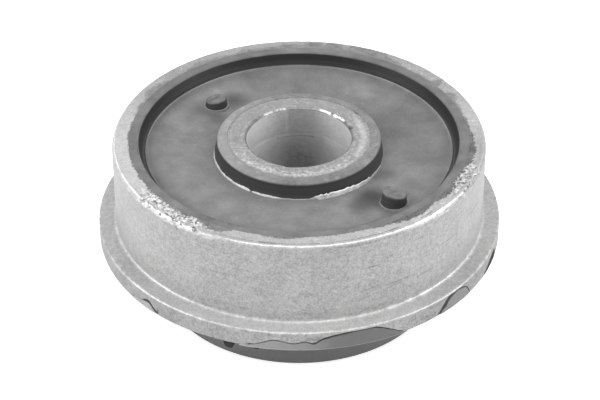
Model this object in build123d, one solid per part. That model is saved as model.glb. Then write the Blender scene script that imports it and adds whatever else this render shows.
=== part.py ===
from build123d import *
import os
from math import cos, radians, sin

# Bonded rubber-metal bush: a flanged outer sleeve and a thick inner tube, joined by one rubber
# moulding. All sizes are in millimetres. Z = 0 is the plane the bush stands on, and +Z runs up
# the bore. Heights are measured from Z = 0, depths are measured down from the rim.

# Outer sleeve
rim_height = 27.55
sleeve_radius = 29.0
sleeve_wall = 2.6
rim_edge_width = 0.4             # bevel on the rim's outer edge
rim_edge_drop = 0.7
flange_radius = 31.7
flange_thickness = 3.0
shoulder_depth = 13.7           # from the rim down to the flange's upper face
shoulder_round = 0.3            # in the corner between wall and flange
flange_edge_bevel = 0.3

# Inner sleeve
bore_radius = 8.1
inner_sleeve_wall = 3.1
bore_chamfer = 0.35
lead_in_step = 0.15             # the mouth of the bore is this much wider in radius
lead_in_depth = 5.2

# Rubber between the sleeves, upper side
lining_thickness = 1.5          # rubber inside the rim, measured at its top
recess_depth = 1.85             # down to the edge of the dished face
recess_draft = 0.55             # how much the recess narrows on its way down
recess_bevel = 0.3
boss_thickness = 1.6            # rubber ring round the inner sleeve
boss_foot = 0.3                 # how much wider the boss is at its foot
boss_depth = 2.7                # from the rim down to the foot of the boss
face_bead_height = 0.16         # raised bead along the outer edge of the face
face_bead_width = 0.5
flash_ridge_height = 0.3        # thin ridge of flash at the foot of the boss
flash_ridge_width = 0.45

# Pegs moulded on the face: distance from the axis, angle, radius and depth of the top
tall_peg_reach = 20.2
tall_peg_angle = -45.0
tall_peg_radius = 1.9
tall_peg_top_depth = 0.35
short_peg_reach = 18.4
short_peg_angle = 136.0
short_peg_radius = 1.68
short_peg_top_depth = 1.15
peg_edge_bevel = 0.15
peg_collar_height = 0.12        # ring of flash at the foot of each peg
peg_collar_width = 0.28

# Rubber under the flange
coat_thickness = 0.4
coat_inset = 0.4                # how far the coat stops short of the flange's edge
bumper_radius = 22.3            # at the foot
bumper_draft = 0.7              # how much wider the bumper is where it meets the coat
bumper_round = 0.9
bumper_width = 3.0
under_recess_depth = 2.4
under_recess_fall = 0.6         # how much deeper the recess is beside the boss
under_recess_bevel = 0.5

# Flash on the flange's edge: it fills shallow hollows in the metal and leaves a fine groove round it
flash_patch_depth = 0.6
flash_groove = 0.14

# Outline of each patch: angle in degrees, then height above the flange's lower face
left_patch = [(213.0, 0.0), (216.5, 1.1), (220.0, 1.2), (223.6, 1.3), (225.4, 0.9), (226.6, 0.0)]
front_patch = [(253.5, 0.0), (257.6, 0.35), (263.0, 1.45), (268.3, 0.95), (271.6, 1.25), (273.8, 0.85),
               (276.4, 1.6), (281.5, 2.2), (287.6, 2.45), (291.6, 2.2), (295.2, 1.3), (299.6, 0.0)]
right_patch = [(310.6, 0.0), (313.4, 1.1), (316.0, 2.4), (319.6, 2.55), (323.2, 1.9), (326.6, 0.0)]
# Flap of flash that hangs below the coat, outlined the same way
hanging_flap = [(333.0, -0.3), (338.0, -0.8), (345.0, -1.1), (351.0, -0.95), (354.5, -0.3)]

# Worked out from the sizes above
sleeve_bore = sleeve_radius - sleeve_wall
shoulder_height = rim_height - shoulder_depth
flange_bottom = shoulder_height - flange_thickness
inner_sleeve_radius = bore_radius + inner_sleeve_wall
boss_radius = inner_sleeve_radius + boss_thickness
face_edge_height = rim_height - recess_depth
boss_foot_height = rim_height - boss_depth
recess_mouth = sleeve_bore - lining_thickness
face_radius = recess_mouth - recess_draft
coat_radius = flange_radius - coat_inset
coat_bottom = flange_bottom - coat_thickness


def turned(*points):
    """Solid of revolution about Z from a closed outline of (radius, height) points."""
    outline = Polyline(*[(r, 0, z) for r, z in points], close=True)
    return revolve(make_face(outline), Axis.Z)


def rings(shape, radius, height):
    """The circular edges of one radius at one height."""
    found = shape.edges().filter_by(GeomType.CIRCLE)
    return found.filter_by(lambda e: abs(e.radius - radius) < 1e-3 and abs(e.center().Z - height) < 1e-3)


def face_height(radius):
    """Height of the dished rubber face at a distance from the axis."""
    share = (face_radius - radius) / (face_radius - boss_radius - boss_foot)
    return face_edge_height + share * (boss_foot_height - face_edge_height)


def edge_ring(radius, low, high):
    """Ring at the rim of the flange or its coat, as deep as flash reaches."""
    inside = radius - flash_patch_depth
    return turned((inside, low), (radius, low), (radius, high), (inside, high))


def edge_window(outline, radius, closing_height, grow=0.0):
    """Radial block under a wavy outline of (angle, height above the flange's lower face) points."""
    middle = radians((outline[0][0] + outline[-1][0]) / 2)
    side = [radius * sin(radians(angle) - middle) for angle, _ in outline]
    side[0] -= grow
    side[-1] += grow
    heights = [flange_bottom + height + grow for _, height in outline]
    wave = Spline(*zip(side, heights))
    foot = Polyline((side[-1], heights[-1]), (side[-1], closing_height),
                    (side[0], closing_height), (side[0], heights[0]))
    outward = (cos(middle), sin(middle), 0)
    facing = Plane(origin=(0, 0, 0), x_dir=(-sin(middle), cos(middle), 0), z_dir=outward)
    return extrude(facing * make_face([wave, foot]), amount=2 * radius)


def flash_patch(outline, low, grow=0.0):
    """Flash in the flange's edge, from the height low up to its outline."""
    return edge_window(outline, flange_radius, low, grow) & edge_ring(flange_radius, low, shoulder_height)


def make_flap():
    """Flap of flash that hangs from the edge of the coat."""
    coat_middle = flange_bottom - coat_thickness / 2
    lowest = flange_bottom - flange_thickness
    return edge_window(hanging_flap, coat_radius, coat_middle) & edge_ring(coat_radius, lowest, coat_middle)


def make_outer_sleeve():
    body = turned(
        (sleeve_bore, flange_bottom), (flange_radius, flange_bottom),
        (flange_radius, shoulder_height - flange_edge_bevel),
        (flange_radius - flange_edge_bevel, shoulder_height), (sleeve_radius, shoulder_height),
        (sleeve_radius, rim_height - rim_edge_drop), (sleeve_radius - rim_edge_width, rim_height),
        (sleeve_bore, rim_height))
    body = fillet(rings(body, sleeve_radius, shoulder_height), shoulder_round)
    for outline in (left_patch, front_patch, right_patch):
        body -= flash_patch(outline, flange_bottom - flash_groove, flash_groove)
    return body


def make_inner_sleeve():
    mouth = bore_radius + lead_in_step
    step = rim_height - lead_in_depth
    body = turned(
        (bore_radius, 0), (inner_sleeve_radius, 0), (inner_sleeve_radius, rim_height), (mouth, rim_height),
        (mouth, step), (bore_radius, step - lead_in_step))
    body = chamfer(rings(body, bore_radius, 0) + rings(body, mouth, rim_height), bore_chamfer)
    return body


def make_peg(reach, angle, radius, top_depth):
    """Round peg that rises from the dished face, with a fine collar of flash at its foot."""
    foot = boss_foot_height
    seat = Pos(reach * cos(radians(angle)), reach * sin(radians(angle)), 0)
    top = rim_height - top_depth
    peg = seat * Pos(0, 0, foot) * Cylinder(radius, top - foot, align=(Align.CENTER, Align.CENTER, Align.MIN))
    peg = chamfer(rings(peg, radius, top), peg_edge_bevel)
    collar_height = face_height(reach) + peg_collar_height - foot
    collar = seat * Pos(0, 0, foot) * Cylinder(
        radius + peg_collar_width, collar_height, align=(Align.CENTER, Align.CENTER, Align.MIN))
    return peg + collar


def make_rubber_body():
    boss_foot_radius = boss_radius + boss_foot
    under_outer = bumper_radius - bumper_width
    body = turned(
        (inner_sleeve_radius, 0), (boss_radius, 0),
        (boss_foot_radius, under_recess_depth + under_recess_fall), (under_outer, under_recess_depth),
        (under_outer, 0), (bumper_radius, 0), (bumper_radius + bumper_draft, coat_bottom),
        (coat_radius, coat_bottom), (coat_radius, flange_bottom), (sleeve_bore, flange_bottom),
        (sleeve_bore, rim_height), (recess_mouth, rim_height), (face_radius, face_edge_height),
        (boss_foot_radius, boss_foot_height), (boss_radius, rim_height), (inner_sleeve_radius, rim_height))
    body = fillet(rings(body, bumper_radius, 0), bumper_round)
    body = chamfer(rings(body, under_outer, under_recess_depth), under_recess_bevel)
    body = chamfer(rings(body, face_radius, face_edge_height), recess_bevel)

    bead_outside = face_radius - recess_bevel
    bead_inside = bead_outside - face_bead_width
    bead_middle = (bead_outside + bead_inside) / 2
    body += turned(
        (bead_inside, boss_foot_height), (bead_inside, face_height(bead_inside)),
        (bead_middle, face_height(bead_middle) + face_bead_height),
        (bead_outside, face_height(bead_outside)), (bead_outside, boss_foot_height))
    body += turned(
        (boss_radius, boss_foot_height - flash_ridge_height),
        (boss_radius, boss_foot_height + flash_ridge_height),
        (boss_foot_radius + flash_ridge_width / 2, boss_foot_height + flash_ridge_height),
        (boss_foot_radius + flash_ridge_width, boss_foot_height - flash_ridge_height))
    body += make_peg(tall_peg_reach, tall_peg_angle, tall_peg_radius, tall_peg_top_depth)
    body += make_peg(short_peg_reach, short_peg_angle, short_peg_radius, short_peg_top_depth)

    for outline in (left_patch, front_patch, right_patch):
        body += flash_patch(outline, coat_bottom)
    body += make_flap()
    return body


def main():
    os.makedirs("parts", exist_ok=True)
    pieces = {
        "outer_sleeve": make_outer_sleeve(),
        "inner_sleeve": make_inner_sleeve(),
        "rubber_body": make_rubber_body(),
    }
    for name, piece in pieces.items():
        solids = piece.solids()
        assert len(solids) == 1, f"{name} is {len(solids)} solids"
        export_step(solids[0], f"parts/{name}.step")
        print(name, round(solids[0].volume, 2))


main()
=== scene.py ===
from math import atan2, cos, degrees, hypot, pi, radians, sin

import bmesh
import bpy
from mathutils import Matrix, Vector, noise


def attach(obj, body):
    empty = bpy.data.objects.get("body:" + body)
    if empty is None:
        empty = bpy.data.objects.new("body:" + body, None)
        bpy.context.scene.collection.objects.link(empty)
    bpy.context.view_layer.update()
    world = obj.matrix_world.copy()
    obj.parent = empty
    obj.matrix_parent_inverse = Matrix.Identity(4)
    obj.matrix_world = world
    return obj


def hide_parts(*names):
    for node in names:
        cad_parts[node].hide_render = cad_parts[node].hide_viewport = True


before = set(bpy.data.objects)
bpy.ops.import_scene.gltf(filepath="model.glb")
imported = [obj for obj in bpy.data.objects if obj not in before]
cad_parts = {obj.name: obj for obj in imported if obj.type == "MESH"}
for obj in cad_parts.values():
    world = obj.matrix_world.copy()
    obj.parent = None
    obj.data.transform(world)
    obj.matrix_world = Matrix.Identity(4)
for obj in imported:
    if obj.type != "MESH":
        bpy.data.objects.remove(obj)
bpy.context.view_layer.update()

# Everything is built in millimetres and brought to metres when its mesh is made.
# Angles are in degrees round the bore, from +X towards +Y, so 270 is the front.

black = (0.0, 0.0, 0.0, 1.0)
white = (1.0, 1.0, 1.0, 1.0)
metalWhite = (1.0, 0.998, 0.992, 1.0)
residueAndShade = (0.015, 0.015, 0.015, 1.0)  # near black: what lies in pits and the score, and painted shade in the grooves of the flange's edge
millimetre = 0.001
sharpAngle = 38  # edges that turn by more than this stay sharp


def along(table, x):  # straight between the pairs of a table
    if x <= table[0][0]:
        return table[0][1]
    for (x0, y0), (x1, y1) in zip(table, table[1:]):
        if x <= x1:
            return y0 + (y1 - y0) * (x - x0) / max(x1 - x0, 1e-9)
    return table[-1][1]


def curved(table, x):  # as along, but a smooth curve through the pairs
    for i in range(len(table) - 1):
        (x0, y0), (x1, y1) = table[i], table[i + 1]
        if x0 <= x <= x1:
            before = table[max(i - 1, 0)]
            after = table[min(i + 2, len(table) - 1)]
            slope0 = (y1 - before[1]) / (x1 - before[0])
            slope1 = (after[1] - y0) / (after[0] - x0)
            span = x1 - x0
            t = (x - x0) / span
            return ((2 * t ** 3 - 3 * t ** 2 + 1) * y0 + (t ** 3 - 2 * t ** 2 + t) * span * slope0
                    + (3 * t ** 2 - 2 * t ** 3) * y1 + (t ** 3 - t ** 2) * span * slope1)
    return 0.0


def ease(x, low, high):  # from 0 at low to 1 at high, and low may be the larger of the two
    t = min(max((x - low) / (high - low), 0), 1)
    return t * t * (3 - 2 * t)


def onCircle(angle, radius):
    return radius * cos(radians(angle)), radius * sin(radians(angle))


def grit(x, y, z, size, seed=0.0):  # smooth noise about 0, with lumps of roughly that size
    return noise.noise(Vector((x / size + seed, y / size - seed, z / size + 2 * seed)))


def turned(outline, columns, closed=True):
    # outline: (radius, height, rows on the way to the next point)
    bm = bmesh.new()
    ends = outline[1:] + outline[:1] if closed else outline[1:]
    chain = []
    for (radius, height, rows), (nextRadius, nextHeight, _) in zip(outline, ends):
        for k in range(rows):
            share = k / rows
            chain.append(bm.verts.new((radius + (nextRadius - radius) * share, 0,
                                       height + (nextHeight - height) * share)))
    chain.append(chain[0] if closed else bm.verts.new((outline[-1][0], 0, outline[-1][1])))
    for here, there in zip(chain, chain[1:]):
        bm.edges.new((here, there))
    bmesh.ops.spin(bm, geom=bm.verts[:] + bm.edges[:], cent=(0, 0, 0), axis=(0, 0, 1),
                   angle=2 * pi, steps=columns, use_merge=True)
    bmesh.ops.remove_doubles(bm, verts=bm.verts[:], dist=1e-4)
    bmesh.ops.recalc_face_normals(bm, faces=bm.faces[:])
    return bm


def isOnRing(v, radius, height):
    return abs(hypot(v.co.x, v.co.y) - radius) < 0.01 and abs(v.co.z - height) < 0.01


def roundRings(bm, rings):  # rings: (radius, height, width of the rounding, its segments)
    for radius, height, width, segments in rings:
        loop = [e for e in bm.edges if all(isOnRing(v, radius, height) for v in e.verts)]
        bmesh.ops.bevel(bm, geom=loop, offset=width, offset_type="OFFSET", segments=segments,
                        profile=0.5, affect="EDGES", material=-1)


def reshape(bm, move):  # move(angle, radius, height) gives a vertex's new radius and height
    for v in bm.verts:
        turn = atan2(v.co.y, v.co.x)
        radius, height = move(degrees(turn) % 360, hypot(v.co.x, v.co.y), v.co.z)
        v.co = (radius * cos(turn), radius * sin(turn), height)


def paint(bm, name, value):  # value(angle, radius, height) becomes a vertex attribute
    layer = bm.verts.layers.float.get(name) or bm.verts.layers.float.new(name)
    for v in bm.verts:
        v[layer] = value(degrees(atan2(v.co.y, v.co.x)) % 360, hypot(v.co.x, v.co.y), v.co.z)


def paintRound(bm, tables):  # attributes that change only with the angle
    for name, table in tables.items():
        paint(bm, name, lambda angle, radius, height: along(table, angle))


def addTo(bm, other):  # joins another bmesh, which is used up
    mesh = bpy.data.meshes.new("joining")
    other.to_mesh(mesh)
    other.free()
    bm.from_mesh(mesh)
    bpy.data.meshes.remove(mesh)


def makePiece(bm, name, node):
    bmesh.ops.scale(bm, vec=(millimetre, millimetre, millimetre), verts=bm.verts[:])
    for face in bm.faces:
        face.smooth = True
    mesh = bpy.data.meshes.new(name)
    bm.to_mesh(mesh)
    bm.free()
    mesh.set_sharp_from_angle(angle=radians(sharpAngle))
    piece = bpy.data.objects.new(name, mesh)
    bpy.context.scene.collection.objects.link(piece)
    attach(piece, "root")
    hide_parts(node)
    triangles = sum(len(p.vertices) - 2 for p in mesh.polygons)
    print(f"{name}: {triangles} triangles")
    return piece


class Wire:  # an output socket that can be used in sums
    def __init__(self, graph, socket):
        self.graph = graph
        self.socket = socket

    def __add__(self, other):
        return self.graph.math("ADD", self, other)

    def __radd__(self, other):
        return self.graph.math("ADD", other, self)

    def __sub__(self, other):
        return self.graph.math("SUBTRACT", self, other)

    def __rsub__(self, other):
        return self.graph.math("SUBTRACT", other, self)

    def __mul__(self, other):
        return self.graph.math("MULTIPLY", self, other)

    def __abs__(self):
        return self.graph.math("ABSOLUTE", self, 0.0)


class Graph:  # the nodes of a material or of the world
    def __init__(self, owner):
        owner.use_nodes = True
        self.tree = owner.node_tree
        self.tree.nodes.clear()

    def node(self, kind, settings=None, sockets=None, out=0):
        made = self.tree.nodes.new(kind)
        for key, value in (settings or {}).items():
            setattr(made, key, value)
        for key, value in (sockets or {}).items():
            if isinstance(value, Wire):
                self.tree.links.new(value.socket, made.inputs[key])
            else:
                made.inputs[key].default_value = value
        return Wire(self, made.outputs[out]) if out is not None else None

    def sibling(self, wire, out):
        return Wire(self, wire.socket.node.outputs[out])

    def math(self, operation, first, second):
        return self.node("ShaderNodeMath", {"operation": operation}, {0: first, 1: second})

    def most(self, first, second):
        return self.math("MAXIMUM", first, second)


class Finish(Graph):  # one material
    def __init__(self, name):
        self.material = bpy.data.materials.new(name)
        super().__init__(self.material)
        coordinates = self.node("ShaderNodeTexCoord", out="Object")
        self.point = self.vector("SCALE", coordinates, {"Scale": 1 / millimetre})
        self.facing = self.sibling(coordinates, "Normal")
        split = self.node("ShaderNodeSeparateXYZ", sockets={0: self.point})
        self.x, self.y, self.height = split, self.sibling(split, 1), self.sibling(split, 2)
        flat = self.vector("MULTIPLY", self.point, {1: (1.0, 1.0, 0.0)})
        self.radius = self.node("ShaderNodeVectorMath", {"operation": "LENGTH"}, {0: flat}, out="Value")

    def vector(self, operation, first, sockets):
        return self.node("ShaderNodeVectorMath", {"operation": operation}, {0: first, **sockets})

    def stretched(self, x, y, z):
        return self.vector("MULTIPLY", self.point, {1: (x, y, z)})

    def noise(self, size, detail, where=None, shift=0.0):  # size is that of its lumps in millimetres
        place = where or self.point
        if shift:
            place = self.vector("ADD", place, {1: (shift, 2 * shift, -shift)})
        return self.node("ShaderNodeTexNoise", {}, {"Vector": place, "Scale": 1 / size, "Detail": detail})

    def sway(self, size, detail, where=None, shift=0.0):  # the same noise about 0
        return self.noise(size, detail, where, shift) - 0.5

    def fade(self, value, low, high):  # from 0 at low to 1 at high, as ease
        return self.node("ShaderNodeMapRange", {"interpolation_type": "SMOOTHSTEP"},
                         {"Value": value, "From Min": low, "From Max": high})

    def band(self, value, low, high, soft):  # 1 between low and high
        return self.fade(value, low - soft, low + soft) * self.fade(value, high + soft, high - soft)

    def attribute(self, name):
        return self.node("ShaderNodeAttribute", {"attribute_name": name}, out="Fac")

    def spot(self, x, y, z, size, soft):  # a soft ball round a place
        away = self.node("ShaderNodeVectorMath", {"operation": "DISTANCE"},
                         {0: self.point, 1: (x, y, z)}, out="Value")
        return self.fade(away, size, size * (1 - soft))

    def colours(self, factor, first, second):
        return self.node("ShaderNodeMix", {"data_type": "RGBA"}, {0: factor, 6: first, 7: second}, out=2)

    def bump(self, height, distance, strength):  # distance in millimetres
        return self.node("ShaderNodeBump", {}, {"Height": height, "Distance": distance * millimetre,
                                                "Strength": strength})

    def surface(self, **sockets):
        named = {key.replace("_", " "): value for key, value in sockets.items()}
        shader = self.node("ShaderNodeBsdfPrincipled", {}, named)
        self.node("ShaderNodeOutputMaterial", {}, {0: shader}, out=None)
        return self.material


studio = {
    "cameraPlace": (0.000132, -0.27786, 0.21225),
    "cameraTilt": 54.689,
    "cameraRoll": -0.168,
    "lens": 128.92,
    "sensor": 36.0,
    "clip": (0.01, 20.0),
    "floorHalf": 3.0,
    "floorColour": (0.86, 0.86, 0.86, 1.0),
    "floorGlow": 0.62,  # as the camera sees it
    "floorSheen": 0.12,  # as reflections see it
    "worldLight": 0.74,
    "lampAim": (0.0, 0.0, 0.015),
    "lamps": {  # place, width and height, power
        "softFront": ((0.0, -0.32, 0.6), (0.5, 0.4), 0.9),
        "softBack": ((0.0, 0.6, 0.42), (0.8, 0.3), 0.2),
        "softLeft": ((-0.6, -0.16, 0.20), (0.35, 0.4), 2.2),
        "softRight": ((0.6, -0.12, 0.20), (0.35, 0.4), 2.2),
    },
}


def makeCamera():
    data = bpy.data.cameras.new("camera")
    data.lens, data.sensor_width = studio["lens"], studio["sensor"]
    data.clip_start, data.clip_end = studio["clip"]
    camera = bpy.data.objects.new("camera", data)
    bpy.context.scene.collection.objects.link(camera)
    camera.location = studio["cameraPlace"]
    camera.rotation_mode = "XYZ"
    turn = Matrix.Rotation(radians(studio["cameraTilt"]), 3, "X")
    turn = turn @ Matrix.Rotation(radians(studio["cameraRoll"]), 3, "Z")
    camera.rotation_euler = turn.to_euler("XYZ")
    bpy.context.scene.camera = camera


def makeFloor():
    bm = bmesh.new()
    bmesh.ops.create_grid(bm, x_segments=8, y_segments=8, size=studio["floorHalf"])
    mesh = bpy.data.meshes.new("floor")
    bm.to_mesh(mesh)
    bm.free()
    floor = bpy.data.objects.new("floor", mesh)
    bpy.context.scene.collection.objects.link(floor)
    finish = Finish("paleFloor")
    seen = finish.node("ShaderNodeLightPath", out="Is Camera Ray")
    reflected = finish.sibling(seen, "Is Glossy Ray")
    through = finish.sibling(seen, "Is Transmission Ray")
    glow = seen * studio["floorGlow"] + (reflected + through) * studio["floorSheen"]
    mesh.materials.append(finish.surface(
        Base_Color=studio["floorColour"], Roughness=0.9,
        Emission_Color=finish.colours(glow, black, white), Emission_Strength=1.0))


def makeWorld():  # a white backdrop, with softer light on the part
    world = bpy.data.worlds.new("studio")
    bpy.context.scene.world = world
    graph = Graph(world)
    seen = graph.node("ShaderNodeLightPath", out="Is Camera Ray")
    direct = graph.most(seen, graph.sibling(seen, "Is Glossy Ray"))
    direct = graph.most(direct, graph.sibling(seen, "Is Transmission Ray"))
    room = graph.node("ShaderNodeBackground", {}, {"Color": white, "Strength": studio["worldLight"]})
    backdrop = graph.node("ShaderNodeBackground", {}, {"Color": white, "Strength": 1.0})
    mixed = graph.node("ShaderNodeMixShader", {}, {0: direct, 1: room, 2: backdrop})
    graph.node("ShaderNodeOutputWorld", {}, {0: mixed}, out=None)


def makeLamp(name, place, size, power):
    data = bpy.data.lights.new(name, "AREA")
    data.shape = "RECTANGLE"
    data.size, data.size_y = size
    data.energy = power
    lamp = bpy.data.objects.new(name, data)
    bpy.context.scene.collection.objects.link(lamp)
    lamp.location = place
    towards = Vector(studio["lampAim"]) - Vector(place)
    lamp.rotation_euler = towards.to_track_quat("-Z", "Y").to_euler()


makeCamera()
makeFloor()
makeWorld()
for name, (place, size, power) in studio["lamps"].items():
    makeLamp(name, place, size, power)
print("studio is ready")


sleeve = {
    "columns": 720,
    "rimHeight": 27.55,
    "radius": 29.0,
    "innerRadius": 26.4,
    "rimEdgeWidth": 0.4,
    "rimEdgeDrop": 0.7,
    "flangeRadius": 31.7,
    "flangeTop": 13.85,
    "flangeBottom": 10.85,
    "edgeRows": 14,  # rows of vertices up the flange's edge
    "hollowRows": 9,  # how many of them line a hollow
    "edgeStart": 0.2,  # where those rows begin, above the flange's lower face
    "edgeStop": 0.35,  # and end, below its upper face
    "hollowDepth": 0.16,
    "ledgeWidth": 0.07,
    "pitDepth": 0.16,
    "chipDepth": 0.2,
    "scoreRadius": 28.12,
    "tone": 0.388,
    "filmTone": 0.19,
    "metallic": 0.45,
}

# Rubber flash filling hollows in the flange's edge: angle, then height above the flange's lower face
flashPatches = {
    "left": [(216.0, 0.0), (218.5, 0.7), (221.8, 1.0), (224.1, 1.1), (225.1, 0.75), (226.0, 0.3),
             (227.6, 0.0)],
    "front": [(253.5, 0.0), (257.6, 0.35), (263.0, 1.45), (268.3, 0.95), (271.6, 1.25), (273.8, 0.85),
              (276.4, 1.6), (281.5, 2.2), (287.6, 2.45), (291.6, 2.2), (295.2, 1.3), (299.6, 0.0)],
    "right": [(311.0, 0.0), (312.2, 0.05), (313.2, 0.45), (314.5, 0.9), (315.3, 1.5), (316.5, 2.0),
              (318.0, 2.2), (320.0, 2.3), (322.6, 1.9), (324.2, 1.2), (325.2, 0.0)],
    "farRight": [(334.0, 0.0), (336.5, 0.7), (339.5, 1.35), (342.5, 1.65), (343.9, 1.3), (344.6, 0.0)],
}

# Width of the groove above each patch, and how much lighter than the rest its rubber has gone
patchGrooves = [
    (0, 0.0), (220, 0.0), (221.2, 0.05), (222.6, 0.5), (225, 0.74), (227, 0.5), (253, 0.06), (262, 0.12),
    (272, 0.13), (274, 0.26), (279, 0.30), (283, 0.24), (290, 0.26), (299, 0.05), (311, 0.2),
    (312.2, 0.8), (313.2, 1.1), (314.4, 1.3), (315.2, 1.2), (316.4, 0.9), (318, 0.62), (320, 0.36),
    (322, 0.2), (325, 0.08), (333, 0.1), (338, 0.15), (346, 0.1), (360, 0.0),
]
patchTones = [
    (0, 0.19), (228, 0.19), (253, 0.15), (262, 0.12), (270, 0.09), (276, 0.05), (282, 0.02), (300, 0.01),
    (311, 0.05), (318, 0.06), (325, 0.05), (332, 0.0), (360, 0.0),
]

# How far the rubber film creeps out over the rim from the sleeve's inner edge
rimFilm = [
    (0, 0.57), (10, 0.28), (17, 0.28), (22, 0.57), (25, 1.44), (27, 1.15), (28.5, -0.01), (32, -0.01),
    (34, 1.44), (35.5, 2.02), (37, 0.13), (43, 0.13), (50, 0.13), (53, 0.71), (58, 1.15), (60, 2.43),
    (72, 2.43), (73, 0.57), (74.5, 0.57), (75.5, 2.43), (80, 2.43), (81, 0.86), (82, 1.73), (87, 1.73),
    (88, 1.15), (92, 1.15), (95, 1.44), (97, 0.71), (105, 0.71), (110, 1.15), (112, 0.28), (120, 0.71),
    (128, 1.00), (134, 0.28), (140, -0.01), (148, 1.15), (152, 1.15), (157, 0.28), (160, 0.57),
    (165, 0.10), (170, 0.05), (180, 0.20), (190, 0.0), (195, 0.15), (200, 0.05), (210, 0.15),
    (214, 0.40), (220, 0.05), (227, 0.45), (234, 0.11), (239, 0.71), (242, 1.29), (246, 1.15),
    (249, -0.01), (255, -0.01), (262, 0.43), (265, 0.51), (269, 0.28), (272, 0.08), (280, 0.08),
    (290, -0.01), (295, 0.28), (300, 0.45), (303, 0.75), (306, 1.10), (312, 1.15), (315, 0.85),
    (318, 0.50), (321, 0.75), (324, 1.05), (330, 0.75), (332, 0.2), (338, 0.2), (342, 0.4),
    (345, 1.0), (352, 1.1), (357, 0.8), (360, 0.57),
]

# How badly the rim is knocked and pitted round the ring
rimKnocks = [
    (0, 0.1), (22, 0.15), (30, 0.3), (45, 0.3), (55, 0.15), (90, 0.15), (135, 0.1), (142, 0.2), (150, 0.1),
    (205, 0.15), (211, 0.5), (215, 0.95), (238, 1.0), (243, 0.6), (248, 0.25), (300, 0.2), (306, 0.45),
    (322, 0.5), (329, 0.75), (333, 1.0), (343, 0.9), (348, 0.3), (360, 0.1),
]

# How bright the painted highlight along the rim's outer edge is, round the ring
rimHighlight = [
    (0, 0.1), (30, 0.1), (60, 0.05), (120, 0.1), (150, 0.3), (180, 0.6), (198, 0.75), (202, 1.0),
    (231, 1.0), (234, 0.1), (247, 0.1), (249, 0.9), (255, 1.0), (308, 0.9), (322, 0.7), (330, 0.35),
    (335, 0.05), (360, 0.1),
]

# How strongly a thin score shows near the rim's outer edge
rimScore = [
    (0, 0.0), (240, 0.0), (246, 0.4), (257, 0.5), (259, 1.0), (263, 1.0), (265, 0.5), (268, 1.0),
    (270, 0.5), (276, 0.9), (277, 0.3), (287, 0.6), (300, 0.9), (302, 0.1), (309, 0.1), (310, 0.9),
    (315, 0.9), (316, 0.1), (329, 0.1), (330, 0.8), (332, 0.0), (360, 0.0),
]


def edgeMove(angle, radius, height):  # sinks the flange's edge where flash fills it
    bottom, edge = sleeve["flangeBottom"], sleeve["flangeRadius"]
    low, high = bottom + sleeve["edgeStart"], sleeve["flangeTop"] - sleeve["edgeStop"]
    rows, lined = sleeve["edgeRows"], sleeve["hollowRows"]
    ledge = lined + 1  # this row is the corner over the groove, and those above it are left plain
    for outline in flashPatches.values():
        if not outline[0][0] < angle < outline[-1][0]:
            continue
        patchTop = max(curved(outline, angle), 0.0)
        groove = along(patchGrooves, angle)
        sunk = sleeve["hollowDepth"] * ease(patchTop + groove * 0.5, 0.05, 0.4)
        top = min(max(bottom + patchTop + groove, low + 0.25), high - 0.1)
        if radius > edge - 0.02 and low - 0.01 < height < high + 0.01:
            row = round((height - low) / (high - low) * rows)
            if row <= lined:
                radius, height = radius - sunk, low + (top - 0.03 - low) * row / lined
            elif row == ledge:
                radius, height = radius - sunk, top
            else:
                plain = top + sleeve["ledgeWidth"]
                height = plain + (high - plain) * (row - ledge - 1) / (rows - ledge - 1)
        elif height < low and radius > edge - 0.6:
            radius = min(radius, edge - sunk)
    return radius, height


def rimMove(angle, radius, height):  # pits the rim and chips its outer edge
    x, y = onCircle(angle, radius)
    knocks = along(rimKnocks, angle)
    pits = max(grit(x, y, height, 0.9) + 0.5 * grit(x, y, height, 0.45, 3.1) - 0.05, 0)
    height -= sleeve["pitDepth"] * knocks * min(pits * 2, 1)
    if radius > sleeve["radius"] - 0.5:
        chips = max(grit(x, y, height, 1.3, 7.7) + 0.6 * grit(x, y, height, 0.6, 5.2), 0)
        radius -= sleeve["chipDepth"] * knocks * min(chips * 2, 1)
    return radius, height


def sleeveMove(angle, radius, height):
    if height > sleeve["rimHeight"] - 0.75 and radius > sleeve["innerRadius"] + 0.05:
        return rimMove(angle, radius, height)
    return edgeMove(angle, radius, height)


def buildSleeve():
    bore, wall, edge = sleeve["innerRadius"], sleeve["radius"], sleeve["flangeRadius"]
    bottom, shoulder, rim = sleeve["flangeBottom"], sleeve["flangeTop"], sleeve["rimHeight"]
    low, high = bottom + sleeve["edgeStart"], shoulder - sleeve["edgeStop"]
    bevelIn, bevelFoot = wall - sleeve["rimEdgeWidth"], rim - sleeve["rimEdgeDrop"]
    bm = turned([
        (bore, bottom, 2), (edge - 0.4, bottom, 1), (edge, bottom, 1), (edge, low, sleeve["edgeRows"]),
        (edge, high, 1), (edge, shoulder, 1), (edge - 0.4, shoulder, 3), (wall + 0.4, shoulder, 1),
        (wall, shoulder, 1), (wall, shoulder + 0.4, 14), (wall, bevelFoot - 0.2, 1), (wall, bevelFoot, 3),
        (bevelIn, rim, 1), (bevelIn - 0.2, rim, 12), (bore + 0.1, rim, 1), (bore, rim, 3)],
        sleeve["columns"])
    roundRings(bm, [(edge, bottom, 0.12, 2), (edge, shoulder, 0.3, 3), (wall, shoulder, 0.3, 3),
                    (wall, bevelFoot, 0.14, 2), (bevelIn, rim, 0.15, 3)])
    reshape(bm, sleeveMove)
    paintRound(bm, {"film": rimFilm, "knocks": rimKnocks, "score": rimScore, "paintedHighlight": rimHighlight})
    # painted shade in the groove where the edge was pressed in under the patches
    paint(bm, "pressed", lambda angle, radius, height: ease(edge - radius, 0.03, 0.10)
          * ease(height, high + 0.02, high - 0.04) * ease(radius, edge - 0.7, edge - 0.6))
    return makePiece(bm, "outerSleeve", "outer_sleeve")


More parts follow.
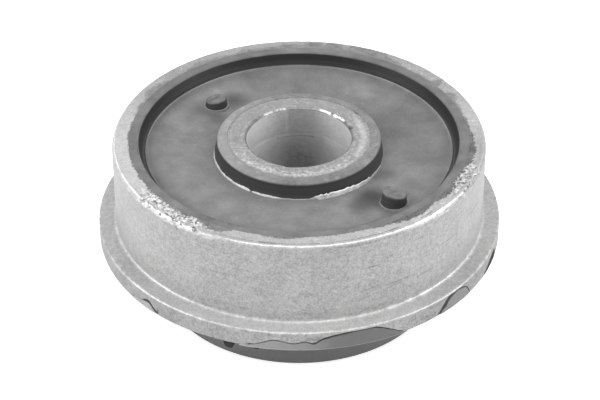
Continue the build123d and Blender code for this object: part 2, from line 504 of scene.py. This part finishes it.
def sleeveFinish():
    f = Finish("blastedAluminium")
    bore, wall, edge = sleeve["innerRadius"], sleeve["radius"], sleeve["flangeRadius"]
    shoulder, rim, scoreRadius = sleeve["flangeTop"], sleeve["rimHeight"], sleeve["scoreRadius"]
    knocks = f.attribute("knocks")
    grain = f.sway(0.26, 3.0)
    speckle = f.sway(0.8, 3.0, shift=4.0)
    cloud = f.sway(6.0, 3.0, shift=11.0)
    streaks = f.sway(1.0, 2.0, f.stretched(0.12, 0.12, 2.6), shift=3.0)
    scrapes = f.fade(f.noise(1.0, 3.0, f.stretched(0.14, 0.14, 1.5), shift=9.0), 0.60, 0.70)
    scuffed = f.fade(f.x, 3.0, 12.0) * f.band(f.height, 17.5, 24.5, 1.2)
    shade = (sleeve["tone"] + grain * 0.42 + speckle * 0.24 + cloud * 0.14 + streaks * 0.06
             - scrapes * (0.05 + scuffed * 0.08))
    # painted sheen: the wall is lighter where it turns away at the sides
    behind = f.fade(f.y, 2.0, 12.0)
    aside = f.fade(abs(f.x), 14.0, 28.0)
    farLeft = f.fade(f.x, -19.0, -28.0)
    farRight = f.fade(f.x, 21.0, 28.0)
    shade = shade + aside * 0.035 + farLeft * 0.04 + farRight * 0.025
    # painted light: the flange's top is lighter, more at the front, painted highlights broken up by noise
    # lie along its inner corner and its upper outer edge, and painted shade darkens its edge, more at the
    # sides
    onFlange = f.band(f.height, shoulder - 0.15, shoulder + 0.1, 0.1) * f.fade(f.radius, wall, wall + 0.3)
    flangeEdge = f.fade(f.height, shoulder - 0.25, shoulder - 0.45)
    flangeEdge = flangeEdge * f.fade(f.radius, edge - 0.5, edge - 0.3)
    corner = f.band(f.radius, wall - 0.1, wall + 0.45, 0.15)
    corner = corner * f.band(f.height, shoulder - 0.05, shoulder + 0.45, 0.15)
    lipEdge = f.fade(f.radius, edge - 0.4, edge - 0.2)
    lipEdge = lipEdge * f.band(f.height, shoulder - 0.3, shoulder + 0.05, 0.12)
    highlightBreakup = f.fade(f.noise(2.4, 3.0, shift=91.0), 0.50, 0.66)
    shade = shade + onFlange * (0.20 - aside * 0.21) - flangeEdge * (0.035 + aside * 0.10)
    shade = shade + corner * (0.07 + highlightBreakup * 0.10 + speckle * 0.2)
    shade = shade + lipEdge * (highlightBreakup * 0.07 - 0.02 + speckle * 0.3)
    # a painted highlight lies along the rim's outer edge, and painted shade dulls its bevel at the right
    onRim = f.fade(f.height, rim - 0.5, rim - 0.3)
    edgeHighlight = f.band(f.radius, wall - 0.43, wall - 0.3, 0.05) * onRim * f.attribute("paintedHighlight")
    edgeHighlight = edgeHighlight * f.fade(f.noise(1.6, 3.0, shift=81.0), 0.15, 0.5)
    bevel = f.fade(f.radius, wall - 0.32, wall - 0.2) * f.fade(f.height, rim - 0.8, rim - 0.7)
    bevel = bevel * f.fade(f.x, 0.0, 12.0)
    shade = shade + edgeHighlight * (0.40 + speckle * 0.9) - bevel * 0.09
    # the rim is scraped and flecked where it is knocked, and greyer at the far right
    inside = f.fade(f.radius, wall - 0.75, wall - 1.0) + f.fade(knocks, 0.85, 1.0) * 0.6
    scraped = f.noise(0.9, 4.0, shift=21.0) + grain * 0.25
    worn = f.fade(scraped + knocks * 0.30, 0.66, 0.86) * onRim * inside
    fleck = f.noise(0.50, 4.0, shift=71.0) - 0.54
    flecked = f.fade(knocks, 0.45, 1.0) * onRim * inside
    greyer = f.fade(f.x, 22.5, 26.0) * f.fade(f.y, 8.0, 0.0) * onRim
    shade = shade + onRim * (0.075 - behind * 0.10) + worn * 0.20 + fleck * flecked * 1.2 - greyer * 0.11
    # pits and the fine score are almost black, and painted shade makes the groove of the pressed edge
    # almost black
    pits = f.fade(f.noise(0.7, 3.0, shift=31.0) + knocks * 0.12, 0.68, 0.76) * onRim
    pits = pits * f.fade(knocks, 0.4, 0.9)
    score = f.band(f.radius, scoreRadius - 0.08, scoreRadius + 0.08, 0.07) * f.attribute("score")
    score = score * f.fade(f.height, rim - 0.3, rim - 0.1)
    score = score * f.fade(f.noise(0.7, 2.0, shift=61.0), 0.30, 0.50)
    dark = f.most(f.most(pits * 0.75, score * 0.8), f.attribute("pressed"))
    # rubber film creeps out over the rim, sharp at the front and smeared at the back, with specks beyond it
    wobble = f.sway(0.9, 4.0, shift=41.0) * 1.1 + f.sway(0.35, 3.0, shift=43.0) * (knocks * 1.4 + 0.6)
    past = f.radius - bore - f.attribute("film") - wobble
    sharpFilm = f.fade(past, 0.12, -0.12)
    smeared = f.fade(past, 0.45, -0.45) * (0.55 + f.noise(1.4, 3.0, shift=47.0) * 0.5)
    specks = f.fade(f.noise(0.4, 3.0, shift=51.0), 0.64, 0.72) * onRim * f.fade(knocks, 0.15, 0.6)
    specks = specks * f.fade(f.radius, wall - 0.6, wall - 2.2)
    film = f.most((sharpFilm + (smeared - sharpFilm) * behind) * onRim, specks * 0.6)
    filmTone = sleeve["filmTone"] + speckle * 0.24 + grain * 0.14 + f.sway(2.2, 3.0, shift=83.0) * 0.16
    filmTone = filmTone - f.fade(f.x, 8.0, 16.0) * f.fade(f.y, 6.0, -2.0) * 0.06
    metal = f.colours(dark, f.colours(shade, black, metalWhite), residueAndShade)
    colour = f.colours(film, metal, f.colours(filmTone, black, white))
    relief = grain * 0.5 + speckle * 0.35 + film * 1.2 - pits * 2.0 - score * 1.5 + worn * 0.6
    roughness = 0.42 + speckle * 0.2 + film * 0.12 - worn * 0.05 - edgeHighlight * 0.12
    metallic = (1 - film) * (1 - dark) * sleeve["metallic"]
    return f.surface(Base_Color=colour, Metallic=metallic, Roughness=roughness,
                     Normal=f.bump(relief, 0.05, 0.8))


outerSleeve = buildSleeve()
outerSleeve.data.materials.append(sleeveFinish())


bushTube = {
    "columns": 360,
    "boreRadius": 8.1,
    "mouthRadius": 8.19,
    "outerRadius": 11.2,
    "top": 27.55,
    "stepHeight": 22.35,
    "chamfer": 0.25,
    "nickPlace": (8.3, 2.6),  # a dent at the mouth's right
    "nickDepth": 0.18,
    "chipDepth": 0.10,
    "tone": 0.305,
    "metallic": 0.45,
}

# How speckled the end face is round the ring
endSpecks = [
    (0, 0.5), (20, 0.9), (45, 0.35), (90, 0.25), (150, 0.2), (190, 0.4), (205, 1.0), (250, 0.9),
    (270, 0.8), (300, 0.7), (330, 0.9), (345, 0.6), (360, 0.5),
]

# Where painted highlights lie on the chamfer at the mouth
mouthHighlight = [
    (0, 0.0), (30, 0.0), (32.5, 1.0), (48, 1.0), (49.5, 0.0), (52.5, 0.0), (54, 1.0), (65, 1.0),
    (68, 0.1), (103, 0.0), (106, 0.6), (109, 0.3), (112, 0.9), (115, 0.4), (118, 0.1), (121, 0.5),
    (126, 0.4), (130, 0.6), (134, 0.0), (360, 0.0),
]


def tubeMove(angle, radius, height):
    if height > bushTube["top"] - 0.5:
        x, y = onCircle(angle, radius)
        mouth = ease(radius, bushTube["mouthRadius"] + 1.2, bushTube["mouthRadius"])
        chips = max(grit(x, y, height, 0.8, 2.2) + 0.5 * grit(x, y, height, 0.4, 8.8) - 0.1, 0)
        height -= bushTube["chipDepth"] * chips * (1 + mouth)
        nickX, nickY = bushTube["nickPlace"]
        height -= bushTube["nickDepth"] * ease(hypot(x - nickX, y - nickY), 0.9, 0.2)
    return radius, height


def buildTube():
    bore, mouth, outside = bushTube["boreRadius"], bushTube["mouthRadius"], bushTube["outerRadius"]
    top, step, chamfer = bushTube["top"], bushTube["stepHeight"], bushTube["chamfer"]
    bm = turned([
        (bore + chamfer, 0.0, 6), (outside, 0.0, 2), (outside, top - 0.2, 1), (outside, top, 12),
        (mouth + chamfer + 0.15, top, 1), (mouth + chamfer, top, 2), (mouth, top - chamfer, 14),
        (mouth, step + 0.3, 4), (bore, step - 0.25, 14), (bore, chamfer, 2)], bushTube["columns"])
    roundRings(bm, [(outside, top, 0.05, 2), (mouth + chamfer, top, 0.06, 2)])
    reshape(bm, tubeMove)
    paintRound(bm, {"specks": endSpecks, "paintedHighlight": mouthHighlight})
    return makePiece(bm, "innerSleeve", "inner_sleeve")


def tubeFinish():
    f = Finish("sawnSteel")
    mouth, outside = bushTube["mouthRadius"], bushTube["outerRadius"]
    top, step = bushTube["top"], bushTube["stepHeight"]
    grain = f.sway(0.28, 3.0, shift=5.0)
    speckle = f.sway(0.8, 4.0, shift=15.0)
    cloud = f.noise(3.0, 2.0, shift=25.0)
    onEnd = f.fade(f.height, top - 0.3, top - 0.15)
    inBore = f.fade(f.height, top - 0.3, top - 0.42)
    # saw marks run round the end face and turning marks round the bore
    swirl = f.node("ShaderNodeCombineXYZ", {}, {0: f.radius, 1: cloud * 0.5})
    rings = f.noise(0.22, 2.0, swirl, shift=35.0)
    turnedLines = f.noise(0.3, 2.0, f.stretched(0.05, 0.05, 1.0), shift=45.0)
    bright = f.fade(f.noise(0.42, 3.0, shift=55.0) + f.attribute("specks") * 0.10, 0.60, 0.72) * onEnd
    frontRing = f.band(f.radius, outside - 1.6, outside - 0.3, 0.3) * f.fade(f.y, -3.0, -7.0) * onEnd
    broken = f.fade(f.noise(0.55, 4.0, shift=75.0), 0.44, 0.62)
    shade = (bushTube["tone"] + grain * 0.16 + speckle * 0.16 + (cloud - 0.5) * 0.12 + bright * 0.14
             + onEnd * (rings - 0.5) * 0.14 + frontRing * ((rings - 0.5) * 0.24 + broken * 0.20 + 0.01)
             + inBore * ((turnedLines - 0.5) * 0.10 + 0.145))
    # painted reflection lightens the bore at the sides and painted shade darkens it further down, and it
    # has a line where its mouth ends
    side = f.fade(abs(f.x), 1.0, 7.0) * inBore
    deepShade = f.fade(f.height, 25.0, 15.0) * inBore
    stepLine = f.band(f.height, step - 0.16, step + 0.02, 0.08) * inBore
    streak = f.band(f.x, -2.2, -1.7, 0.2) * f.fade(f.y, 0.0, 4.0) * f.fade(f.height, 22.0, 24.0) * inBore
    shade = shade + side * 0.29 - deepShade * (1 - side) * 0.20 - stepLine * 0.10 + streak * 0.07
    # the end face is rubbed at the right, painted shade dulls the mouth's chamfer, and painted highlights
    # lie on it in places
    crescent = f.band(f.radius, outside - 1.6, outside - 0.7, 0.3) * f.fade(f.x, 8.2, 9.2) * onEnd
    mouthEdge = f.band(f.radius, mouth + 0.03, mouth + 0.31, 0.04) * f.fade(f.height, top - 0.5, top - 0.35)
    chamferHighlight = mouthEdge * f.attribute("paintedHighlight") * f.fade(f.noise(0.5, 2.0, shift=65.0), 0.28, 0.44)
    shade = shade - mouthEdge * 0.10 + crescent * 0.16 + chamferHighlight * 0.75
    # painted shade darkens the nick and a line under the chamfer at the sides, and the outer corner is
    # darker
    nick = f.spot(8.0, 2.5, top, 0.75, 0.6)
    corner = f.band(f.radius, outside - 0.18, outside + 0.1, 0.06) * onEnd
    mouthLine = f.band(f.radius, mouth - 0.09, mouth + 0.11, 0.05) * f.fade(f.height, top - 0.6, top - 0.4)
    mouthLine = mouthLine * f.fade(abs(f.x), 5.5, 7.0)
    shade = shade * (1 - nick * 0.6) * (1 - corner * 0.14) * (1 - mouthLine * 0.35)
    relief = grain * 0.5 + speckle * 0.6 + bright * 0.5 + onEnd * rings * 0.6 + inBore * turnedLines * 0.4
    roughness = 0.40 + speckle * 0.2 - chamferHighlight * 0.15
    return f.surface(Base_Color=f.colours(shade, black, metalWhite), Roughness=roughness,
                     Metallic=bushTube["metallic"] - inBore * 0.1, Normal=f.bump(relief, 0.05, 0.8))


innerSleeve = buildTube()
innerSleeve.data.materials.append(tubeFinish())


rubber = {
    "columns": 600,
    "top": 27.55,
    "tubeRadius": 11.2,
    "bossRadius": 12.8,
    "bossFoot": 13.1,
    "bossFootHeight": 24.85,
    "faceRadius": 24.35,
    "faceHeight": 25.70,
    "lipRadius": 24.9,
    "outerRadius": 26.4,
    "coatRadius": 31.3,
    "coatBottom": 10.65,
    "coatTop": 10.85,
    "beadWidth": 0.5,
    "beadRise": 0.13,
    "bumperRadius": 22.3,
    "bumperRoot": 23.3,  # its radius where it meets the coat
    "bumperInside": 19.3,
    "hollowTop": 3.0,  # the hollow under the face, beside the boss
    "ridgeColumns": 720,  # the torn ridge at the boss's foot
    "ridgeIn": 12.95,
    "ridgeMiddle": 13.3,
    "ridgeOut": 13.46,
    "ridgeBottom": 24.6,
    "pegColumns": 72,
    "patchStep": 0.35,  # degrees between the columns of a flash patch
    "patchRows": 10,
    "patchDepth": 0.5,
    "lipWidth": 0.22,  # along a patch's upper edge, which is rounded back by lipDrop
    "lipDrop": 0.10,
    "spotHeight": 25.3,
    "tone": 0.20,  # of the bloom and painted light from above on what faces up
    "bareTone": 0.034,
    "undersideTone": 0.115,
    "flashTone": 0.82,
}

# top is the height at the middle of the slanting top, rise is its climb per millimetre along X and Y,
# sink is how far the face dips round the peg, and worn is how much darker the top is
pegs = [
    {"angle": -45.0, "reach": 20.2, "radius": 1.9, "top": 27.02, "rise": (-0.22, -0.10), "sink": 0.36,
     "worn": 0.25},
    {"angle": 136.0, "reach": 18.4, "radius": 1.68, "top": 26.45, "rise": (0.20, -0.12), "sink": 0.16,
     "worn": 0.33},
]

# Torn flash round the boss's foot: its height, and how white it has gone, partly stress-whitened and partly
# a painted highlight
flashHeight = [
    (0, 0.0), (170, 0.0), (185, 0.14), (190, 0.22), (213, 0.20), (228, 0.26), (232, 0.32), (235, 0.26),
    (236, 0.0), (237.2, 0.0), (238, 0.24), (259, 0.16), (270, 0.08), (277, 0.10), (282, 0.5), (284, 0.80),
    (286, 0.60), (288, 0.85), (289, 0.62), (291, 0.95), (295, 0.84), (300, 0.88), (304, 0.84),
    (309, 0.74), (313, 0.56), (315, 0.66), (320, 0.70), (323, 0.60), (325, 0.18), (328, 0.20),
    (341, 0.16), (348, 0.0), (360, 0.0),
]
flashWhiteAndHighlight = [
    (0, 0.0), (176, 0.0), (188, 0.6), (215, 0.8), (235, 1.0), (238, 0.9), (256, 0.7), (262, 0.35),
    (278, 0.35), (283, 0.8), (290, 0.95), (312, 0.95), (316, 0.65), (323, 0.65), (326, 0.45), (338, 0.3),
    (344, 0.0), (360, 0.0),
]

# Flaps and shreds that hang below the coat, outlined as the patches are
flashHanging = [
    [(333.0, -0.3), (338.0, -0.8), (345.0, -1.1), (351.0, -0.95), (354.5, -0.3)],
    [(248.6, -0.3), (249.0, -1.2), (250.2, -1.5), (251.4, -1.3), (252.0, -0.3)],
    [(256.9, -0.3), (257.5, -0.75), (258.6, -0.85), (259.4, -0.3)],
    [(268.0, -0.3), (269.0, -0.6), (270.4, -0.65), (271.4, -0.3)],
]

# Smudges on the face, and broad painted shade over its back and right: x, y, size, and how much darker they
# are, or lighter if below 0
stainsAndShade = [
    (11.0, -12.6, 3.8, 0.85), (9.6, -15.2, 3.6, 0.6), (17.2, -10.4, 3.0, 0.32), (13.4, -6.6, 2.6, 0.4),
    (-10.2, 14.3, 3.6, 0.5), (-15.6, 11.0, 3.4, 0.5), (-13.0, 9.0, 2.4, 0.5), (14.5, 7.0, 9.0, 0.34),
    (2.0, 18.0, 9.0, 0.28), (-6.0, 20.0, 7.0, 0.25), (20.0, -2.0, 6.0, 0.28), (-13.4, 16.6, 0.9, -0.25),
]


def faceLevel(radius):  # height of the dished face
    share = (rubber["faceRadius"] - radius) / (rubber["faceRadius"] - rubber["bossFoot"])
    return rubber["faceHeight"] + share * (rubber["bossFootHeight"] - rubber["faceHeight"])


def rubberMove(angle, radius, height):  # the face sinks and swells, and the rounded tops are uneven
    x, y = onCircle(angle, radius)
    if rubber["bossFoot"] + 0.3 < radius < rubber["faceRadius"] - 0.95 and 24.0 < height < 26.5:
        height += 0.06 * grit(x, y, 0, 4.5, 1.4) + 0.03 * grit(x, y, 0, 1.6, 6.4)
        for peg in pegs:
            pegX, pegY = onCircle(peg["angle"], peg["reach"])
            height -= peg["sink"] * ease(hypot(x - pegX, y - pegY), 3.8, 2.0)
    if height > rubber["top"] - 0.65:
        if radius > 23.5:
            uneven = 0.03 + 0.05 * max(grit(x, y, 0, 1.2, 2.5), 0)
            height -= uneven * ease(radius, rubber["outerRadius"], rubber["outerRadius"] - 0.6)
        elif radius < 13.2:
            uneven = 0.02 * (1 + grit(x, y, 0, 1.5, 9.1))
            height -= uneven * ease(radius, rubber["tubeRadius"], rubber["tubeRadius"] + 0.6)
    return radius, height


def buildPeg(peg):
    radius, top = peg["radius"], peg["top"]
    seat = faceLevel(peg["reach"]) - peg["sink"]
    bm = turned([
        (0.0, seat - 0.3, 2), (radius + 0.46, seat - 0.3, 1), (radius + 0.30, seat + 0.14, 1),
        (radius + 0.16, seat + 0.18, 1), (radius + 0.04, seat + 0.10, 5), (radius - 0.06, top - 0.2, 2),
        (radius - 0.22, top, 8), (0.0, top, 1)], rubber["pegColumns"], closed=False)
    paint(bm, "tone", lambda angle, away, height:
          0.016 * ease(height, top - 0.1, top - 0.3) + 0.09 * ease(height, seat + 0.25, seat + 0.12)
          * ease(away, radius + 0.02, radius + 0.10))
    paint(bm, "dark", lambda angle, away, height: peg["worn"] * ease(height, top - 0.15, top - 0.05)
          * (1 + 1.2 * grit(*onCircle(angle, away), 0, 0.8, peg["reach"])))
    for v in bm.verts:
        x, y = v.co.x, v.co.y
        if v.co.z > seat + 0.3:
            slant = x * peg["rise"][0] + y * peg["rise"][1]
            slant += 0.04 * grit(x, y, 0, 0.9, peg["angle"]) + 0.03 * grit(x, y, 0, 0.4, 1.1)
            v.co.z += slant * (v.co.z - seat - 0.3) / (top - seat - 0.3)
        elif v.co.z < seat + 0.24 and hypot(x, y) > radius + 0.2:
            v.co.z += 0.08 * grit(x, y, 0, 1.2, 3.3)
    bmesh.ops.translate(bm, vec=(*onCircle(peg["angle"], peg["reach"]), 0), verts=bm.verts[:])
    return bm


def ridgeMove(angle, radius, height):  # tears the ridge of flash, and leans it outwards where it is high
    low, middle = rubber["ridgeBottom"], rubber["ridgeMiddle"]
    share = height - low
    x, y = onCircle(angle, middle)
    standing = along(flashHeight, angle)
    tall = ease(standing, 0.4, 0.7)
    ragged = standing * (1 + 0.24 * grit(x, y, 0, 1.1, 5.0) + 0.08 * grit(x, y, 0, 0.4, 2.0))
    lean = 0.05 + 0.10 * grit(x, y, 0, 1.8, 8.0) + 0.10 * grit(x, y, 0, 0.6, 1.0) + 0.22 * tall
    stout = 0.14 * tall * ease(radius, middle - 0.2, middle)
    return radius + lean * share + stout, low + share * (0.25 + max(ragged, 0))


def buildRidge():  # starts 1 mm high all round, for ridgeMove to bring to its height
    low, foot = rubber["ridgeBottom"], rubber["bossFootHeight"]
    ridgeIn, middle, ridgeOut = rubber["ridgeIn"], rubber["ridgeMiddle"], rubber["ridgeOut"]
    bm = turned([(ridgeIn, low, 3), (middle - 0.16, low + 1.0, 1), (middle, low + 1.0, 3),
                 (ridgeOut, low, 1)], rubber["ridgeColumns"])
    reshape(bm, ridgeMove)
    paint(bm, "flash", lambda angle, radius, height:
          ease(height, foot - 0.07, foot + 0.07) * along(flashWhiteAndHighlight, angle))
    return bm


def buildPatch(outline, radius, low, wave):
    # a strip wrapped round an edge, from the height low up to a wavy outline
    first, last = outline[0][0], outline[-1][0]
    columns = max(int((last - first) / rubber["patchStep"]), 8)
    bm = bmesh.new()
    bmesh.ops.create_grid(bm, x_segments=columns, y_segments=rubber["patchRows"], size=0.5)
    for v in bm.verts:
        angle = first + (v.co.x + 0.5) * (last - first)
        end = curved(outline, angle) + rubber["coatTop"]
        share = v.co.y + 0.5
        height = low + (end - low) * (1 - (1 - share) ** 1.6)  # rows crowd towards the lip
        lip = rubber["lipDrop"] * ease(abs(end - height), rubber["lipWidth"], 0.0)
        side = radius - 0.02 - lip + wave * grit(angle * 0.5, height, 0, 0.9, 1.7)
        v.co = (*onCircle(angle, side), height)
    back = bmesh.ops.extrude_face_region(bm, geom=bm.faces[:])
    for v in back["geom"]:
        if isinstance(v, bmesh.types.BMVert):
            shrink = (radius - rubber["patchDepth"]) / hypot(v.co.x, v.co.y)
            v.co.x *= shrink
            v.co.y *= shrink
    bmesh.ops.remove_doubles(bm, verts=bm.verts[:], dist=1e-3)
    bmesh.ops.recalc_face_normals(bm, faces=bm.faces[:])
    return bm


def patchDark(angle, radius, height):  # painted shade on a patch's lip and over the far right patch in its hollow, and a little darker on the right of the front one
    edge = sleeve["flangeRadius"]
    return max(ease(radius, edge - 0.07, edge - 0.15), ease(angle, 330, 332),
               0.2 * ease(angle, 273, 281) * ease(angle, 303, 297))


def buildBody():  # the moulded section, turned round the bore
    tube, boss, foot = rubber["tubeRadius"], rubber["bossRadius"], rubber["bossFoot"]
    face, lip, outside = rubber["faceRadius"], rubber["lipRadius"], rubber["outerRadius"]
    coat, coatTop, coatBottom = rubber["coatRadius"], rubber["coatTop"], rubber["coatBottom"]
    bumper, inside, root = rubber["bumperRadius"], rubber["bumperInside"], rubber["bumperRoot"]
    top, hollow, rise = rubber["top"], rubber["hollowTop"], rubber["beadRise"]
    faceHeight, footHeight = rubber["faceHeight"], rubber["bossFootHeight"]
    beadOut = face - 0.30
    beadIn = beadOut - rubber["beadWidth"]
    dishIn = foot + 0.35
    bm = turned([
        # under the boss, the hollow and the bumper that it stands on
        (tube, 0.0, 1), (boss - 0.2, 0.0, 1), (boss, 0.15, 4), (foot, hollow - 0.1, 1),
        (foot + 0.4, hollow, 6), (inside - 0.6, 2.42, 1), (inside, 1.9, 2), (inside, 0.25, 1),
        (inside + 0.2, 0.0, 3), (bumper - 0.9, 0.0, 1), (bumper, 0.0, 1), (bumper, 1.2, 6),
        # the coat under the flange, then up the sleeve to the rim
        (root - 0.3, coatBottom - 0.4, 1), (root, coatBottom, 6), (coat, coatBottom, 1), (coat, coatTop, 2),
        (outside, coatTop, 2), (outside, top - 0.3, 1), (outside, top, 5),
        # the lining's inner side and the dished face with its bead
        (lip + 0.2, top, 1), (lip, top, 1), (lip - 0.08, top - 0.3, 6), (face + 0.08, faceHeight + 0.3, 1),
        (face, faceHeight, 1), (beadOut, faceLevel(beadOut), 1),
        (beadOut - 0.16, faceLevel(beadOut) + rise, 1), (beadIn + 0.16, faceLevel(beadIn) + rise, 1),
        (beadIn, faceLevel(beadIn), 34), (dishIn, faceLevel(dishIn), 1),
        # the boss
        (foot, footHeight - 0.02, 1), (foot - 0.03, footHeight + 0.35, 5), (boss, top - 0.7, 1),
        (boss, top, 1), (boss - 0.7, top, 4), (tube, top, 1)], rubber["columns"])
    roundRings(bm, [(bumper, 0.0, 0.85, 4), (lip, top, 0.24, 4), (boss, top, 0.60, 6),
                    (coat, coatBottom, 0.15, 2)])
    reshape(bm, rubberMove)
    return bm


def buildRubber():
    bm = buildBody()
    for name in ("flash", "tone", "dark"):
        bm.verts.layers.float.new(name)
    addTo(bm, buildRidge())
    for peg in pegs:
        addTo(bm, buildPeg(peg))
    for place, outline in flashPatches.items():
        low = rubber["coatBottom" if place == "front" else "coatTop"]  # the front one covers the coat
        patch = buildPatch(outline, sleeve["flangeRadius"], low, 0.03)
        paintRound(patch, {"tone": patchTones})
        paint(patch, "dark", patchDark)
        addTo(bm, patch)
    for outline in flashHanging:
        flap = buildPatch(outline, rubber["coatRadius"], rubber["coatTop"] - 0.2, 0.05)
        # painted shade: the flaps and shreds are painted near black
        paint(flap, "dark", lambda angle, radius, height: 1.0)
        addTo(bm, flap)
    return makePiece(bm, "rubberBody", "rubber_body")


def rubberFinish():
    f = Finish("mouldedRubber")
    boss, face, coat = rubber["bossRadius"], rubber["faceRadius"], rubber["coatRadius"]
    top, coatBottom = rubber["top"], rubber["coatBottom"]
    grain = f.sway(0.30, 3.0, shift=7.0)
    cloud = f.sway(3.6, 4.0, shift=17.0)
    dust = f.sway(0.8, 4.0, shift=27.0)
    flow = f.sway(2.2, 3.0, shift=37.0)
    onFace = f.fade(f.height, top - 0.95, top - 1.35)
    nearTop = f.fade(f.height, top - 0.65, top - 0.25)
    onBoss = nearTop * f.fade(f.radius, boss + 0.6, boss + 0.1)
    onLining = nearTop * f.fade(f.radius, face + 0.05, face + 0.35)
    wallSide = f.fade(f.radius, face - 0.55, face - 0.15)
    # what faces up has a grey bloom with painted light from above, and painted shade darkens the face and
    # wall beside it
    level = f.node("ShaderNodeSeparateXYZ", sockets={0: f.facing}, out=2)
    bloomAndTopLight = f.fade(level - wallSide * 0.22, 0.10, 0.74) * f.fade(f.height, 20.0, 24.0)
    bloomAndTopLight = bloomAndTopLight * (1 - wallSide * f.fade(f.height, top - 0.25, top - 0.65) * 0.85)
    tone = rubber["tone"] + grain * 0.10 + cloud * 0.20 + flow * 0.09 + f.fade(dust, 0.1, 0.25) * 0.05
    # painted shade: the face darkens towards the wall, more at the left
    atWall = f.fade(f.radius, face - 1.95, face - 0.35) * f.fade(f.x, -13.0, -20.0)
    tone = tone * (1 - onFace * f.fade(f.radius, face - 3.85, face - 0.15) * 0.30)
    tone = tone * (1 - onFace * atWall * 0.35)
    # the boss is dusty and a little paler at the left, and the lining is duller
    frontBoss = f.fade(f.y, -6.0, -11.0)
    leftBoss = f.fade(f.x, -1.0, -11.0)
    tone = tone + onBoss * (dust * 0.16 - 0.005 - frontBoss * 0.03 + leftBoss * 0.07)
    tone = tone - onLining * (0.04 + grain * 0.1)
    # smudges near the pegs, and broad painted shade at the back and right of the face
    for x, y, size, depth in stainsAndShade:
        tone = tone * (1 - f.spot(x, y, rubber["spotHeight"], size, 0.9) * onFace * depth)
    # painted highlights: thin light lines on the bead at the back and on the coat's edge; the boss's foot
    # is paler
    beadLight = f.band(f.radius, face - 0.63, face - 0.4, 0.08) * onFace * f.fade(f.height, 25.2, 25.5)
    beadLight = beadLight * f.fade(f.y, -4.0, 8.0) * f.fade(abs(f.x), 3.0, 12.0)
    footPaler = f.fade(f.height, 25.7, 24.9) * f.band(f.radius, boss - 0.2, boss + 0.5, 0.2)
    coatEdge = f.band(f.height, coatBottom - 0.03, coatBottom + 0.11, 0.05)
    coatEdge = coatEdge * f.fade(f.radius, coat - 0.25, coat - 0.15)
    # the outside below the flange is evenly greyed, partly as painted light, and painted shade darkens it
    # up the bumper towards the flange
    outside = f.fade(f.height, 20.0, 15.0) * f.fade(f.radius, 20.0, 22.0)
    onBumper = f.fade(f.radius, rubber["bumperRoot"] + 0.7, rubber["bumperRoot"] + 0.1)
    upBumper = f.fade(f.height, 2.0, 8.0)
    underside = outside * (rubber["undersideTone"] - onBumper * (0.008 + upBumper * 0.030) + dust * 0.03)
    # the recess wall is darkened as painted shade
    shade = (rubber["bareTone"] - wallSide * f.fade(f.height, top - 1.75, top - 0.75) * 0.022 + underside
             + bloomAndTopLight * (tone + beadLight * 0.12) + footPaler * 0.03 + coatEdge * 0.12)
    # painted tones: paler patches, painted shade on the lips and shreds, and torn flash gone white, partly
    # as a painted highlight
    dark = f.attribute("dark")
    shade = (shade + f.attribute("tone") * (1 + grain * 0.7 + dust * 0.3)) * (1 - dark * 0.82)
    shade = shade + f.attribute("flash") * (rubber["flashTone"] + dust * 1.0 + flow * 0.8)
    relief = grain * 0.5 + flow * 0.8 + dust * 0.4
    return f.surface(Base_Color=f.colours(shade, black, white), Roughness=0.50 + cloud * 0.14 + dark * 0.4,
                     Specular_IOR_Level=0.35, Normal=f.bump(relief, 0.04, 0.7))


rubberBody = buildRubber()
rubberBody.data.materials.append(rubberFinish())

bpy.context.scene.view_settings.view_transform = "Standard"
